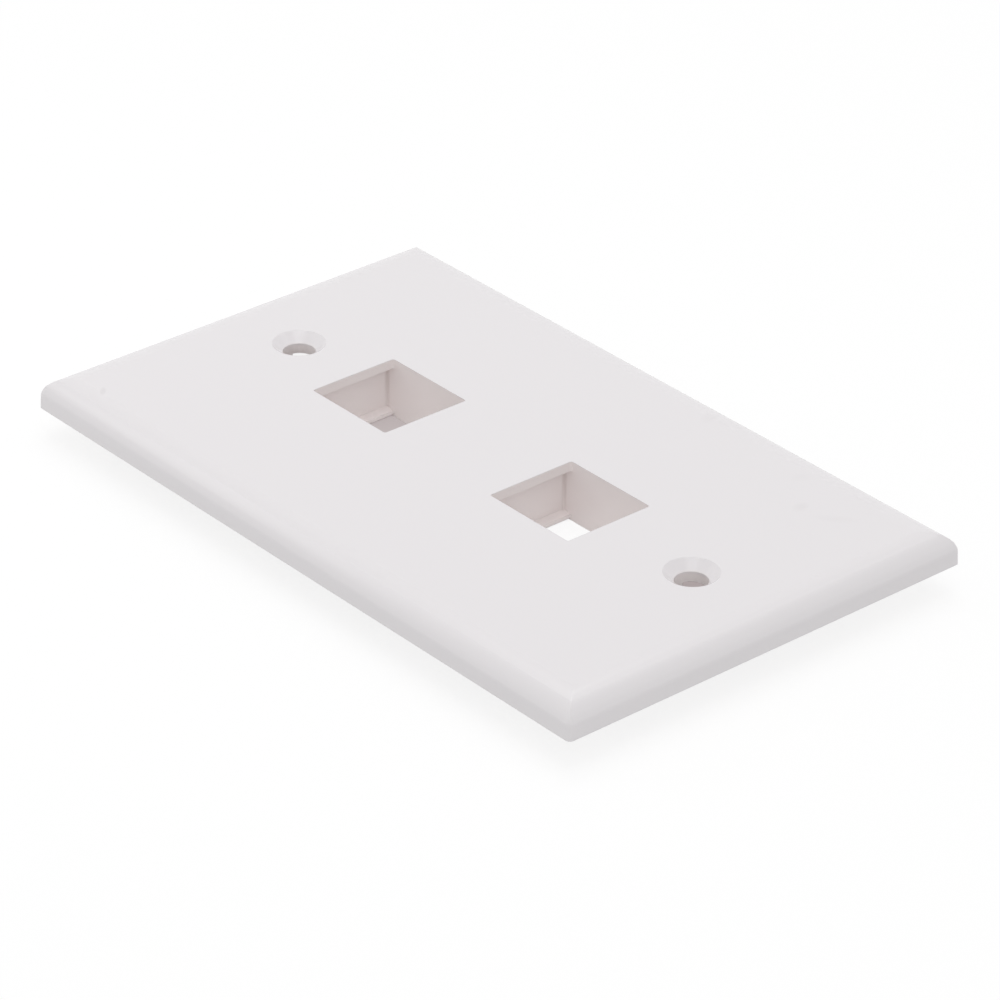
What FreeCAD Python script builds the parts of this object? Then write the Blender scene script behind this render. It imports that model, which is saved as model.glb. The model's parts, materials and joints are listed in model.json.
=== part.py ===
"""Two-port keystone faceplate for a single-gang wall box, moulded in one piece.

The plate lies face up on the backs of its port frames.  X runs across the plate, Y along it and
+Z out of the face.  The origin is under the middle of the plate, on the surface it rests on.
"""
import FreeCAD, Part
import math
import os

V = FreeCAD.Vector

# ---- driving dimensions, millimetres ---------------------------------------------------------

# Outline and rim; tilts are degrees from level, so the face is at 0 and a plumb wall at 90
plate_width = 69.85
plate_length = 114.3
plate_height = 4.8          # back edge of the rim to the face
wall_tilt = 87.0            # plain lower part of the rim's side, with draft to leave the mould
shoulder_radius = 1.2       # turns the wall into the bevel
bevel_tilt = 64.0           # bevel at its foot
bevel_radius = 4.6          # crown of the bevel
crest_tilt = 30.0           # bevel where it meets the roll in a soft crest
roll_tilt = 22.0            # roll of the face at that crest
roll_radius = 6.0
corner_radius = 0.75        # the four corners in plan; the mitres run on from there, sharp

# Hollow back
face_thickness = 2.0
rim_thickness = 1.9
hollow_chamfer = 1.2        # keeps the wall even behind the bevel

# Keystone ports; depths are measured from the face
port_width = 14.7
port_length = 16.0
port_corner = 0.35          # upright corners of the opening
port_spacing = 38.5
port_offset = 2.0           # middle of the pair, from the middle of the plate towards +Y
port_depth = 9.3            # back of the frames
frame_wall = 1.6
frame_corner = 0.8
lip_depth = 1.5             # back of the lip that the jack's face stops against
catch_reach = 1.4           # how far the lip and the catches stand in from the end walls
latch_depth = 8.1           # catch for the jack's springy latch, at the +Y end
latch_slope = 0.3           # fall of that catch, from the end wall to its nose
hook_depth = 6.4            # ledge for the jack's fixed hook, at the -Y end
lead_in = 0.4               # chamfer that guides the jack in past the catches

# Screw holes, for countersunk 6-32 plate screws
screw_spacing = 83.34
screw_bore = 4.7
sink_diameter = 7.8
sink_depth = 1.35
boss_diameter = 8.0
boss_depth = 2.9            # face to the end of the boss

# Stiffening ribs
rib_thickness = 1.2
rib_depth = 4.0             # face to the edge of the ribs

# ---- places that follow from them ------------------------------------------------------------

face_z = port_depth
rim_z = face_z - plate_height
ceiling_z = face_z - face_thickness
half_width = plate_width / 2
half_length = plate_length / 2
frame_half_width = port_width / 2 + frame_wall
frame_half_length = port_length / 2 + catch_reach + frame_wall
port_ys = [port_offset + side * port_spacing / 2 for side in (-1, 1)]
screw_ys = [side * screw_spacing / 2 for side in (-1, 1)]
clear = 1.0                 # how far a cutting tool runs past what it cuts


def line(start, end):
    return Part.LineSegment(V(*start), V(*end)).toShape()


def travel(radius, start, stop):
    """Way in and up along an arc whose tilt falls from start to stop."""
    start, stop = math.radians(start), math.radians(stop)
    return V(radius * (math.sin(start) - math.sin(stop)), 0, radius * (math.cos(stop) - math.cos(start)))


def bend(foot, radius, start, stop):
    """The arc that makes that way from its foot."""
    half_way = foot + travel(radius, start, (start + stop) / 2)
    return Part.Arc(foot, half_way, foot + travel(radius, start, stop)).toShape()


def rim_outline(half):
    """Half of the plate's section, from its outline at x = -half to the middle at x = 0.

    The wall takes up what height the shoulder, bevel and roll leave over.
    """
    bends = [
        (shoulder_radius, wall_tilt, bevel_tilt),
        (bevel_radius, bevel_tilt, crest_tilt),
        (roll_radius, roll_tilt, 0),
    ]
    wall_height = plate_height - sum(travel(*b).z for b in bends)
    wall_lean = wall_height / math.tan(math.radians(wall_tilt))
    back = V(-half, 0, rim_z)
    foot = back + V(wall_lean, 0, wall_height)
    edges = [line((0, 0, rim_z), back), line(back, foot)]
    for one in bends:
        edges.append(bend(foot, *one))
        foot = foot + travel(*one)
    return edges + [line(foot, (0, 0, face_z))]


def hollow_outline(half):
    """Half of the hollow's section, open at the back and chamfered under the bevel."""
    mouth = (rim_thickness - half, 0, rim_z - clear)
    shoulder = (rim_thickness - half, 0, ceiling_z - hollow_chamfer)
    ceiling = (rim_thickness + hollow_chamfer - half, 0, ceiling_z)
    return [
        line((0, 0, rim_z - clear), mouth),
        line(mouth, shoulder),
        line(shoulder, ceiling),
        line(ceiling, (0, 0, ceiling_z)),
    ]


def bar(outline, half, length):
    """The outline and its mirror image, drawn out along Y for the given length."""
    left = Part.Wire(outline(half))
    right = left.mirror(V(0, 0, 0), V(1, 0, 0))
    section = Part.Face(Part.Wire(Part.sortEdges(left.Edges + right.Edges)[0]))
    section.translate(V(0, -length / 2, 0))
    return section.extrude(V(0, length, 0))


def framed(outline):
    """Solid with the same outline on all four sides, mitred where they meet."""
    along = bar(outline, half_width, plate_length)
    across = bar(outline, half_length, plate_width)
    across.rotate(V(0, 0, 0), V(0, 0, 1), 90)
    return along.common(across).Solids[0]


def block(x_half, y_low, y_high, z_low, z_high):
    """Box centred on x = 0."""
    return Part.makeBox(2 * x_half, y_high - y_low, z_high - z_low, V(-x_half, y_low, z_low))


def upright(solid):
    """The solid's edges that run straight up."""
    return [e for e in solid.Edges if e.BoundBox.ZLength > 0.99 * e.Length]


def corner_post():
    """The rim's own section, as far in as the corner radius, turned about an upright axis.

    Its side runs smoothly on from the rim's two sides, whatever their section.
    """
    section = Part.Face(Part.Wire(rim_outline(half_width) + [line((0, 0, face_z), (0, 0, rim_z))]))
    section.translate(V(half_width - corner_radius, 0, 0))
    outer_strip = block(corner_radius, -clear, clear, rim_z - clear, face_z + clear)
    outer_strip.translate(V(-corner_radius, 0, 0))
    return section.common(outer_strip).revolve(V(0, 0, 0), V(0, 0, 1), 360)


def plate_body():
    """The outer form: mitred all round, then each corner's square changed for a round post."""
    post = corner_post()
    squares, posts = [], []
    for x in (-half_width, half_width):
        for y in (-half_length, half_length):
            square = block(corner_radius, -corner_radius, corner_radius, rim_z - clear, face_z + clear)
            squares.append(square.translated(V(x, y, 0)))
            inward = V(math.copysign(corner_radius, x), math.copysign(corner_radius, y), 0)
            posts.append(post.translated(V(x, y, 0) - inward))
    cropped = framed(rim_outline).cut(Part.makeCompound(squares))
    return cropped.multiFuse(posts).removeSplitter()


def port_frame(y):
    """Box behind one port, from the hollow's ceiling to the resting plane."""
    box = block(frame_half_width, y - frame_half_length, y + frame_half_length, 0, ceiling_z + clear / 2)
    return box.makeFillet(frame_corner, upright(box))


def port_cavity(y):
    """What is taken out for one jack: a section along the port, drawn across its width.

    From the face back, each end has the lip, a pocket behind it and a catch that stands in as far as
    the lip.  The latch's catch at the +Y end slopes to its nose; the hook's ledge is square.
    """
    lip = port_length / 2
    wall = lip + catch_reach
    points = [
        (lip, face_z + clear),
        (lip, face_z - lip_depth),
        (wall, face_z - lip_depth),
        (wall, face_z - latch_depth),
        (lip, face_z - latch_depth - latch_slope),
        (lip, lead_in),
        (lip + lead_in + clear, -clear),
        (-lip - lead_in - clear, -clear),
        (-lip, lead_in),
        (-lip, face_z - hook_depth),
        (-wall, face_z - hook_depth),
        (-wall, face_z - lip_depth),
        (-lip, face_z - lip_depth),
        (-lip, face_z + clear),
    ]
    section = Part.Face(Part.makePolygon([V(-port_width / 2, y + v, z) for v, z in points + points[:1]]))
    cavity = section.extrude(V(port_width, 0, 0))
    return cavity.makeFillet(port_corner, upright(cavity))


def screw_boss(y):
    return Part.makeCylinder(boss_diameter / 2, boss_depth, V(0, y, face_z - boss_depth))


def screw_hole(y):
    """Countersink and bore, turned about the screw's axis."""
    bore, sink = screw_bore / 2, sink_diameter / 2
    points = [(0, face_z + clear), (sink, face_z + clear), (sink, face_z), (bore, face_z - sink_depth),
              (bore, -clear), (0, -clear)]
    section = Part.Face(Part.makePolygon([V(r, y, z) for r, z in points + points[:1]]))
    return section.revolve(V(0, y, 0), V(0, 0, 1), 360)


def ribs():
    """Two ties between the frames, a spine out to each end, and a cross rib through each port."""
    low, high = face_z - rib_depth, ceiling_z + clear / 2
    half = rib_thickness / 2
    bars = [block(half, -half_length, half_length, low, high)]
    for x in (-1, 1):
        tie = block(half, port_ys[0], port_ys[1], low, high)
        tie.translate(V(x * (frame_half_width - half), 0, 0))
        bars.append(tie)
    for y in port_ys:
        bars.append(block(half_width, y - half, y + half, low, high))
    return bars


def faceplate():
    outer = plate_body()
    shell = outer.cut(framed(hollow_outline))
    inner = [rib.common(outer) for rib in ribs()]
    inner += [port_frame(y) for y in port_ys]
    inner += [screw_boss(y) for y in screw_ys]
    body = shell.multiFuse(inner)
    tools = [port_cavity(y) for y in port_ys] + [screw_hole(y) for y in screw_ys]
    return body.cut(Part.makeCompound(tools)).removeSplitter()


os.makedirs("parts", exist_ok=True)
plate = faceplate()
plate.Solids[0].exportStep("parts/faceplate.step")
state = "valid" if plate.isValid() else "INVALID"
print("faceplate:", state, len(plate.Solids), "solid,", len(plate.Faces), "faces,", round(plate.Volume, 1), "mm3")
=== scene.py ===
# %% [markdown]
# A wall plate for keystone jacks
#
# This lesson dresses one small moulding: a white wall plate with two ports and two screw holes.
# Its shape is already made, to the tenth of a millimetre, and is loaded as a fixed model.
# What is left to learn here is how a plain white plastic gets to look like a real thing:
# a slight grain, an uneven gloss, eased edges, a duller back, and the few marks of handling.
# White on white is hard on a beginner, because nothing but light and gloss draws the shape.
# One small piece of shape comes last: a rounded corner that the model lacks.

# %% Load the fixed model
import json
import math

import bpy
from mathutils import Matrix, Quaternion, Vector


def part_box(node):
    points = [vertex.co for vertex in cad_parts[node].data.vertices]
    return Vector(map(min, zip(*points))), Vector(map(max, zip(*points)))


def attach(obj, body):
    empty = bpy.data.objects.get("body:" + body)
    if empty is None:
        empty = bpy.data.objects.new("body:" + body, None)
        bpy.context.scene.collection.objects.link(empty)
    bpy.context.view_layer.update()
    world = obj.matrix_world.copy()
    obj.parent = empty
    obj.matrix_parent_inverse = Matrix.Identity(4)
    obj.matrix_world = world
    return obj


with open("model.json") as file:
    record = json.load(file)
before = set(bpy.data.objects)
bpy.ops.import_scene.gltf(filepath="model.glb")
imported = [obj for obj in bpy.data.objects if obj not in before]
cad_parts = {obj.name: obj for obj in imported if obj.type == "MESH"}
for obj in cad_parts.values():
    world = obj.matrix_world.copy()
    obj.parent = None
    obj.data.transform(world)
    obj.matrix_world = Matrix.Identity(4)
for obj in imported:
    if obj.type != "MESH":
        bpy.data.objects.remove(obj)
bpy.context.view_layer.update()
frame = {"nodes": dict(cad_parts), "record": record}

print("nodes in the model:", sorted(frame["nodes"]))

# %% [markdown]
# The main places are worked out from the model, so that the scene still fits if the model changes
# a little. The box gives the outline and the face. The record's mounts say where the rim's back
# edge and the ports are. The maths of the finish is easier to read in millimetres, so the sizes
# are kept in them, and only lamps and the camera are placed in metres.

# %% Measure the plate
MM = 0.001
_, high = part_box("faceplate")
mounts = {mount["name"]: mount for mount in frame["record"]["mounts"]}

half_width = high.x / MM
half_length = high.y / MM
face_height = high.z / MM
rim_height = mounts["wall_rest"]["pos_m"][2] / MM

print(f"plate {2 * half_width:.2f} x {2 * half_length:.2f} mm, face at {face_height:.2f} mm")
print(f"rim's back edge at {rim_height:.2f} mm")

# %% [markdown]
# The camera stands off the plate's near corner and looks down on it at thirty degrees. It is given
# as a maker would describe it: the point it looks at, its bearing round the plate, its height above
# the level and its distance. A long lens from two thirds of a metre keeps opposite edges almost
# parallel, as in a catalogue picture. The slight roll is a camera held a little off level.


# %% Set up the camera
def direction(bearing, height):
    """Unit vector towards a place round the plate: bearing 0 is in front, 90 is to its right."""
    turn, lift = math.radians(bearing), math.radians(height)
    return Vector((math.sin(turn) * math.cos(lift), -math.cos(turn) * math.cos(lift), math.sin(lift)))


look_at = Vector((-1.703, -4.783, rim_height)) * MM
towards_camera = direction(-40.811, 29.864)
camera_distance = 0.651779
roll = Quaternion((0, 0, 1), math.radians(0.641))

camera = bpy.data.objects.new("camera", bpy.data.cameras.new("camera"))
camera.data.sensor_width = 36
camera.data.lens = 170.909
camera.data.clip_start = 0.01
camera.location = look_at + towards_camera * camera_distance
camera.rotation_mode = "QUATERNION"
camera.rotation_quaternion = (-towards_camera).to_track_quat("-Z", "Y") @ roll
bpy.context.scene.collection.objects.link(camera)
bpy.context.scene.camera = camera
bpy.context.scene.view_settings.view_transform = "Standard"

print("camera at", [round(c, 3) for c in camera.location], "m")

# %% [markdown]
# Six soft lamps light the plate. Three large panels give the light: the key stands high behind
# the plate, the overhead panel makes the face its lightest surface, and the weak front panel
# keeps the two near sides from going dark. The three small ones are there for their reflections:
# a polished bevel is a curved mirror, and it shows a bright line only where some lamp stands in
# the direction that it mirrors. The back panel draws the crest of the long side, the far left
# panel brightens that side towards its far end, and the right panel draws the short side's crest.
# Each of the three points at the edge that it is there for.
#
# A lamp is aimed from where it stands to where it points, and its strength is given as brightness
# in place of watts, because a large lamp and a small one of the same brightness leave the same
# highlight. A panel of brightness 1 looks as bright as a white wall.


# %% Hang the lamps
def panel(name, bearing, height, distance, width, depth, brightness, aim=Vector((0, 0, 0))):
    """Rectangular soft lamp, which faces its aim; sizes and distance are in metres."""
    light = bpy.data.lights.new(name, "AREA")
    light.shape = "RECTANGLE"
    light.size, light.size_y = width, depth
    light.energy = brightness * math.pi * width * depth
    lamp = bpy.data.objects.new(name, light)
    towards_lamp = direction(bearing, height)
    lamp.location = aim + towards_lamp * distance
    lamp.rotation_mode = "QUATERNION"
    lamp.rotation_quaternion = (-towards_lamp).to_track_quat("-Z", "Y")
    bpy.context.scene.collection.objects.link(lamp)
    print(f"{name}: {light.energy:.2f} W at {[round(c, 2) for c in lamp.location]} m")


long_edge = Vector((-half_width, 0, face_height)) * MM
left_part = Vector((-half_width, 0.7 * half_length, face_height)) * MM
short_edge = Vector((0, -half_length, face_height)) * MM

# bearing, height, distance, width, depth and brightness, and what a small panel points at
panel("key_panel", 140, 68, 0.9, 0.5, 0.5, 2.0)
panel("overhead_panel", -40, 80, 0.9, 0.5, 0.5, 1.8)
panel("front_panel", -41, 38, 0.9, 0.5, 0.5, 0.6)
panel("back_panel", -161, 46, 0.60, 0.12, 0.12, 1.3, long_edge)
panel("far_left_panel", -144, 36, 0.20, 0.07, 0.07, 1.4, left_part)
panel("right_panel", 70, 53, 0.60, 0.12, 0.12, 1.4, short_edge)

# %% [markdown]
# Shader arithmetic is clumsy to wire by hand: even 1 - mask is a node, two values and a link. The
# class below wraps a node's output, so that the sums of the finish can be written as sums. Each
# operator adds one Math node. The reflected forms, such as __rsub__, are what Python calls when the
# plain number comes first. Every other kind of node comes from the one method, node: it takes the
# node's type, then its settings, then what goes into its sockets.


# %% Write shader sums as sums
class Wire:
    """A node's output. Sums on it add Math nodes to the same material."""

    def __init__(self, tree, socket=None):
        self.tree = tree
        self.socket = socket

    def node(self, kind, settings=None, sockets=None, output=0):
        made = self.tree.nodes.new("ShaderNode" + kind)
        for name, value in (settings or {}).items():
            setattr(made, name, value)
        for name, value in (sockets or {}).items():
            if isinstance(value, Wire):
                self.tree.links.new(value.socket, made.inputs[name])
            else:
                made.inputs[name].default_value = value
        return Wire(self.tree, made.outputs[output] if made.outputs else None)

    def math(self, operation, *values):
        return self.node("Math", {"operation": operation}, dict(enumerate(values)))

    def __add__(self, other):
        return self.math("ADD", self, other)

    __radd__ = __add__

    def __mul__(self, other):
        return self.math("MULTIPLY", self, other)

    __rmul__ = __mul__

    def __sub__(self, other):
        return self.math("SUBTRACT", self, other)

    def __rsub__(self, other):
        return self.math("SUBTRACT", other, self)

    def __truediv__(self, other):
        return self.math("DIVIDE", self, other)

    def size(self):
        return self.math("ABSOLUTE", self)

    def blend(self, amount, one, other):
        """One colour where the amount is 0 and the other where it is 1."""
        return self.node("Mix", {"data_type": "RGBA"}, {0: amount, 6: one, 7: other}, 2)

    def ramp(self, start, stop):
        """0 up to start and 1 from stop on, with a smooth step between them."""
        settings = {"interpolation_type": "SMOOTHSTEP"}
        return self.node("MapRange", settings, {"Value": self, "From Min": start, "From Max": stop})


def new_material(name):
    """An empty material, and a wire to start its nodes from."""
    material = bpy.data.materials.new(name)
    material.use_nodes = True
    material.node_tree.nodes.clear()
    return material, Wire(material.node_tree)


print("shader sums ready")

# %% [markdown]
# The plate lies on a white table, face up, on the backs of its two port frames. The rim stands a
# few millimetres clear, so a soft shadow creeps in under it. The table is far lighter to the camera
# than its shadow side would be: a translucent table lit from below looks like that. The trick is
# the Light Path node, which tells which rays come from the camera, from a reflection or through
# something clear. They see white mixed into the table, while the light that bounces off it to the
# plate stays honest.
#
# Under the plate that glow is turned down to a warm grey, a painted shadow of the plate, or the far
# port and the screw holes would look like windows. The strip below the near port stays white, as it
# is seen there against the lit table.


# %% Lay the table and the white surroundings
def looked_at(start):
    """1 for rays that show a thing to the eye: straight, mirrored or through something clear."""
    straight = start.node("LightPath", output="Is Camera Ray")
    mirrored = start.node("LightPath", output="Is Glossy Ray")
    through = start.node("LightPath", output="Is Transmission Ray")
    return start.math("MAXIMUM", start.math("MAXIMUM", straight, mirrored), through)


table_glow = 0.8            # how much of the table's look is glow, and how bright the glow is
glow_brightness = 1.05
white = (1, 1, 1, 1)
table_tone = (0.9, 0.9, 0.9, 1)
painted_shadow_tone = (0.46, 0.40, 0.40, 1)
shade_sides = (10, 24)      # the painted shade under the plate fades between these places, in millimetres
shade_front = (-50, -36)
shade_back = (34, 48)
white_strip = (11, 14)      # half of the strip below the near port, and where the painted shade is full

table_white, start = new_material("white_table")
place = start.node("TexCoord", output="Object")
across = start.node("SeparateXYZ", {}, {0: place}, "X").size() / MM
along = start.node("SeparateXYZ", {}, {0: place}, "Y") / MM
in_length = along.ramp(*shade_front) * (1 - along.ramp(*shade_back))
under_plate = in_length * (1 - across.ramp(*shade_sides))
near_port = mounts["port_b"]["pos_m"][1] / MM
in_painted_shadow = under_plate * (along - near_port).size().ramp(*white_strip)

surface = start.node("BsdfDiffuse", {}, {"Color": table_tone})
# painted shadow: under the plate the glow takes a warm grey in place of the plate's own shade
glow_tone = start.blend(in_painted_shadow, white, painted_shadow_tone)
glow = start.node("Emission", {}, {"Color": glow_tone, "Strength": glow_brightness})
strength = looked_at(start) * table_glow
mixed = start.node("MixShader", {}, {0: strength, 1: surface, 2: glow})
start.node("OutputMaterial", {}, {"Surface": mixed})

reach = 3.0
table_corners = [(-reach, -reach, 0), (reach, -reach, 0), (reach, reach, 0), (-reach, reach, 0)]
mesh = bpy.data.meshes.new("table_top")
mesh.from_pydata(table_corners, [], [(0, 1, 2, 3)])
table_top = bpy.data.objects.new("table_top", mesh)
mesh.materials.append(table_white)
bpy.context.scene.collection.objects.link(table_top)

world = bpy.data.worlds.new("white_room")
world.use_nodes = True
world.node_tree.nodes.clear()
start = Wire(world.node_tree)
room_light = 0.49
strength = looked_at(start) * (1 - room_light) + room_light
surroundings = start.node("Background", {}, {"Color": white, "Strength": strength})
start.node("OutputWorld", {}, {"Surface": surroundings})
bpy.context.scene.world = world

print(f"table {2 * reach:.0f} m across, room light {room_light}")

# %% [markdown]
# The plate is moulded in ABS, a hard white plastic with a slight warm cast, in a polished mould.
# Up close its face still isn't a mirror. The polish of the mould leaves waves far too shallow to
# see except in the gloss, with a finer peel and a still finer grain on them. All three are noise
# at different sizes, added up as heights in millimetres. They come from the object's own
# coordinates, so they have a real size and run on over the edges from the face into the walls.

# %% Find a place on the plate
plastic, start = new_material("moulded_white_plastic")

metres = start.node("TexCoord", output="Object")
place = start.node("VectorMath", {"operation": "SCALE"}, {0: metres, "Scale": 1 / MM})
x = start.node("SeparateXYZ", {}, {0: place}, "X")
y = start.node("SeparateXYZ", {}, {0: place}, "Y")
z = start.node("SeparateXYZ", {}, {0: place}, "Z")
upward = start.node("SeparateXYZ", {}, {0: start.node("NewGeometry", output="Normal")}, "Z")

print("places on the plate are in millimetres")


# %% Make the grain
def noise(across, detail=2.0, stretch=(1, 1, 1)):
    """Noise from 0 to 1 whose blotches are about that many millimetres across."""
    settings = {"noise_dimensions": "3D"}
    stretched = start.node("Mapping", {}, {"Vector": place, "Scale": stretch})
    sockets = {"Vector": stretched, "Scale": 1 / across, "Detail": detail}
    return start.node("TexNoise", settings, sockets, "Fac")


wave_size, peel_size, grain_size = 9.0, 1.1, 0.16
mould_waves = noise(wave_size, 1.0)
orange_peel = noise(peel_size)
fine_grain = noise(grain_size)

print(f"waves {wave_size} mm, peel {peel_size} mm and grain {grain_size} mm across")

# %% [markdown]
# Only the faces that the wall will not hide are polished. Behind the rim the mould is left as the
# cutter or the spark left it, and the plastic comes out duller there, with a coarser grain. The
# mask for those places is 1 well inside the rim and below the face's underside. A place is inside
# when it is further in than the rim is thick, measured along both directions. The ports' walls
# belong to it too, from just below the face: the record's openings say where the ports are.

# %% Tell the back from the front
rim_depth_in = 1.4          # the polish ends this far in from the outline
rim_fade = 0.2
polish_depth = (1.9, 1.0)   # below the face: dull all through, and where the dull part starts
port_margin = 0.35          # from the sides of an opening's box to just behind the port's walls
port_fade = 0.1
mouth_depth = (0.06, 0.02)


def within(distance, limit, fade):
    """1 up to the limit and 0 once the fade beyond it is over."""
    return 1 - distance.ramp(limit, limit + fade)


def below_face(depths):
    """1 deeper below the face than the first depth and 0 nearer to it than the second."""
    deep, shallow = depths
    return 1 - z.ramp(face_height - deep, face_height - shallow)


inside_width = within(x.size(), half_width - rim_depth_in - rim_fade, rim_fade)
inside_length = within(y.size(), half_length - rim_depth_in - rim_fade, rim_fade)
inside = inside_width * inside_length * below_face(polish_depth)

openings = frame["record"]["physics"]["openings"]
for near_end, far_end in [hole["box_m"] for hole in openings if hole["name"].startswith("port_")]:
    from_middle = (y - (near_end[1] + far_end[1]) / 2 / MM).size()
    half_across = far_end[0] / MM + port_margin
    half_along = (far_end[1] - near_end[1]) / 2 / MM + port_margin
    in_port = within(x.size(), half_across, port_fade) * within(from_middle, half_along, port_fade)
    inside = start.math("MAXIMUM", inside, in_port * below_face(mouth_depth))

faces_down = 1 - upward.ramp(-0.9, -0.5)
# the same mask also carries the painted light of the paler, warmer inside tone
unpolished = start.math("MAXIMUM", inside, faces_down)

print(f"unpolished from {polish_depth[1]:.1f} mm below the face")

# %% [markdown]
# A second mask is for the upright creases, where a pocket's end wall meets the port's side wall.
# Light hardly gets in there, so shade is painted into the colour, darkest under the lip.
# The mask is the product of nearness to the one wall and nearness to the other.

# %% Paint shade into the creases of the ports
side_wall, end_wall = 7.35, 9.4     # from a port's middle
crease_reach = 0.7
behind_wall = 0.1
lip_depth = (1.7, 1.5)
full_depth, unshaded_depth = 2, 12     # below the face: darkest painted shade, and where it is almost gone


def near_wall(distance, wall):
    """1 at a wall, fading out slowly in front of it and fast behind it."""
    return distance.ramp(wall - crease_reach, wall) * within(distance, wall + behind_wall, behind_wall)


# painted shade in the upright creases of the ports, darkest under the lip
painted_crease_shade = 0.0
for port in (mounts["port_a"], mounts["port_b"]):
    from_middle = (y - port["pos_m"][1] / MM).size()
    painted_crease_shade = near_wall(x.size(), side_wall) * near_wall(from_middle, end_wall) + painted_crease_shade
fading_down = z.ramp(face_height - unshaded_depth, face_height - full_depth)
painted_crease_shade = painted_crease_shade * fading_down * below_face(lip_depth)

print("creases reach", crease_reach, "mm from the corner")

# %% [markdown]
# Handling shows on a white plate as faint grey smudges, a dark speck of dirt and a few hairline
# scuffs. Each smudge is an oval whose outline is broken up by noise. Its strength is how much of
# the white it takes away, and the strongest here takes only a few hundredths. The scuffs take no
# colour at all: they only roughen the gloss, so they show where a lamp is mirrored and nowhere else.


# %% Add the marks of handling
def oval(across, along, width, length, turn, softness):
    """1 inside an oval on the face and 0 outside it; its middle and size are in millimetres."""
    cosine, sine = math.cos(math.radians(turn)), math.sin(math.radians(turn))
    over, up = x - across, y - along
    wide = (over * cosine + up * sine) / (width / 2)
    tall = (up * cosine - over * sine) / (length / 2)
    from_middle = start.math("SQRT", wide * wide + tall * tall)
    ragged = from_middle + (noise(0.5) - 0.5) * 0.6
    return 1 - ragged.ramp(1 - softness, 1 + softness)


# across, along, width, length and turn of each oval, and how much of the white it takes away
smudges = [
    (30.3, -12.2, 2.2, 1.6, 20, 0.030),
    (28.6, -32.5, 2.4, 1.6, -30, 0.022),
    (23.0, -38.4, 2.2, 1.4, 10, 0.045),
    (24.3, -43.7, 4.6, 1.4, -50, 0.022),
]
smudge_softness = 0.8
speck_strength = 0.08
dirt = 0.0
for across, along, width, length, turn, strength in smudges:
    dirt = oval(across, along, width, length, turn, smudge_softness) * strength + dirt
dirt = oval(-30.26, 47.85, 0.7, 1.9, -41, 0.5) * speck_strength + dirt
on_face = z.ramp(face_height - 0.6, face_height - 0.3)
dirt = dirt * on_face

# noise stretched along the plate makes the lines, and coarse noise keeps them to a few patches
lines = noise(0.35, 1.0, (1, 0.04, 1)).ramp(0.70, 0.76)
patches = noise(14.0).ramp(0.50, 0.62)
hairlines = lines * patches

print(len(smudges), "smudges and one speck")

# %% [markdown]
# The finish is one Principled shader. Real white plastic reflects about six sevenths of the
# light, never all of it, and its index of refraction is near 1.5. Thin white walls also let some
# light through, and it comes out warmer. Subsurface scattering would show that, but on so small a
# part it is slow and grainy, so the inside takes a paler and warmer tone in its place. The gloss
# is uneven by a few hundredths, and rougher where the mould wasn't polished. The bump heights go
# through one Bump node. Its Normal comes from a Bevel node, which rounds every sharp edge by a
# tenth of a millimetre for the light alone, as the edges of a real moulding are never quite sharp.

# %% Mix the finish
polished, unpolished_extra = 0.17, 0.16
dirt_extra = 0.5
edge_radius = 0.12
white_tone = (0.885, 0.858, 0.872, 1)
# painted light: the inside's paler, warmer tone stands in for light that passes through the thin walls
lit_through_tone = (0.975, 0.915, 0.905, 1)
# the colour of the painted shade in the creases
crease_shade_tone = (0.74, 0.66, 0.64, 1)
dirt_tone = (0.16, 0.12, 0.10, 1)

# where unpolished, the colour takes the painted light of the paler inside tone
colour = start.blend(unpolished, white_tone, lit_through_tone)
# painted shade in the creases of the ports
colour = start.blend(painted_crease_shade, colour, crease_shade_tone)
colour = start.blend(dirt, colour, dirt_tone)

roughness = polished + 0.05 * mould_waves + 0.05 * orange_peel + 0.03 * hairlines
roughness = roughness + dirt * dirt_extra + unpolished * unpolished_extra

# heights in millimetres
heights = 0.004 * orange_peel + 0.0007 * fine_grain + 0.012 * mould_waves
heights = heights + unpolished * fine_grain * 0.004

rounded = start.node("Bevel", {"samples": 6}, {"Radius": edge_radius * MM})
bump = start.node("Bump", {}, {"Height": heights, "Distance": MM, "Strength": 1.0, "Normal": rounded})

shader = start.node("BsdfPrincipled", {}, {
    "Base Color": colour,
    "Roughness": roughness,
    "IOR": 1.47,
    "Normal": bump,
})
start.node("OutputMaterial", {}, {"Surface": shader})

plate = frame["nodes"]["faceplate"]
for slot in plate.material_slots:
    slot.material = plastic

print("finish of", len(plastic.node_tree.nodes), "nodes on", plate.name)

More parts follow.
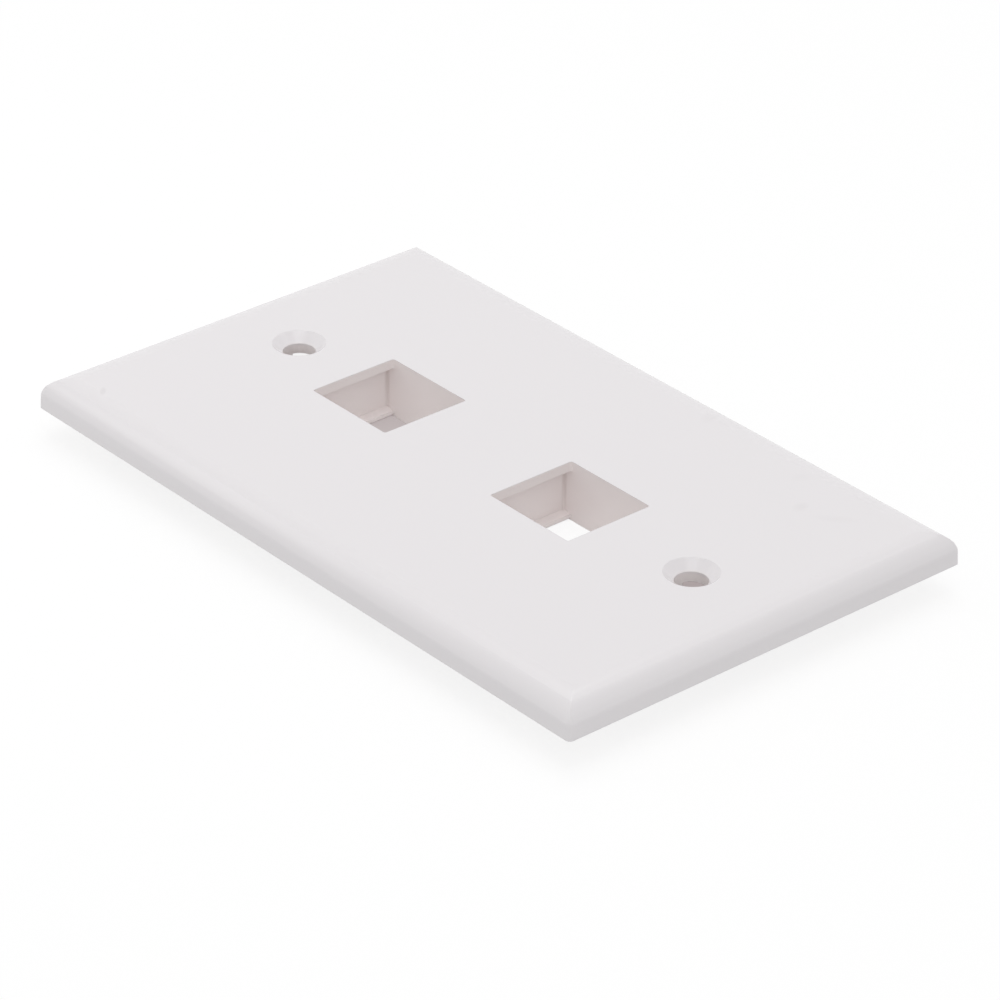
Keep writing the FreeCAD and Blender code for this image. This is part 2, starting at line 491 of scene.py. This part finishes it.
# %% [markdown]
# The moulding has four rounded corners, and the fixed model has three: the one at -X +Y was left
# with a square notch, as wide as the corner's radius. The model's mesh is never edited, so the
# rounded piece that is missing becomes a piece of its own. It could be turned like a lathe part
# from the rim's section. But its neighbour across the plate is already right, so that one's
# facets are copied and turned over to the other side. Their normals are copied with them, since
# normals are what makes small flat facets look round, and they run on into the plate's own sides.
# One flat face closes it below, level with the rim's back edge. It gets no faces against the
# notch's walls. They would never be seen, and the Bevel node would show their edges as seams.

# %% Round the fourth corner
corner_radius = 0.75
slack = 0.02 * MM
downward = -0.5             # a facet whose normal has less height than this faces down
inner = Vector((half_width - corner_radius, half_length - corner_radius, rim_height)) * MM


def turned_over(spot):
    return (-spot.x, spot.y, spot.z)


def in_corner(model, facet):
    """True for a facet of the good corner, out from its inner point in X and Y, but not below."""
    spots = [model.vertices[number].co for number in facet.vertices]
    beyond = all(spot.x > inner.x - slack and spot.y > inner.y - slack for spot in spots)
    return beyond and facet.normal.z > downward


model = plate.data
numbers, outlines, normals = {}, [], []
for facet in model.polygons:
    if in_corner(model, facet):
        # a facet that is turned over runs round the other way
        loops = [model.loops[number] for number in reversed(facet.loop_indices)]
        outlines.append([numbers.setdefault(loop.vertex_index, len(numbers)) for loop in loops])
        normals += [turned_over(model.corner_normals[loop.index].vector) for loop in loops]
spots = [turned_over(model.vertices[number].co) for number in numbers]

# the face below: the inner point, then the arc's points from left to right
arc = [number for number, spot in enumerate(spots) if spot[2] < inner.z + slack]
arc.sort(key=lambda number: spots[number][0])
outlines.append([len(spots)] + arc)
normals += [(0, 0, -1)] * len(outlines[-1])
spots.append(turned_over(inner))

mesh = bpy.data.meshes.new("fourth_corner")
mesh.from_pydata(spots, [], outlines)
mesh.shade_smooth()
mesh.normals_split_custom_set(normals)
mesh.materials.append(plastic)
fourth_corner = bpy.data.objects.new("fourth_corner", mesh)
bpy.context.scene.collection.objects.link(fourth_corner)
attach(fourth_corner, "root")

top = max(spot[2] for spot in spots)
print(f"fourth corner: {len(outlines)} facets, from {rim_height:.2f} to {top / MM:.2f} mm")
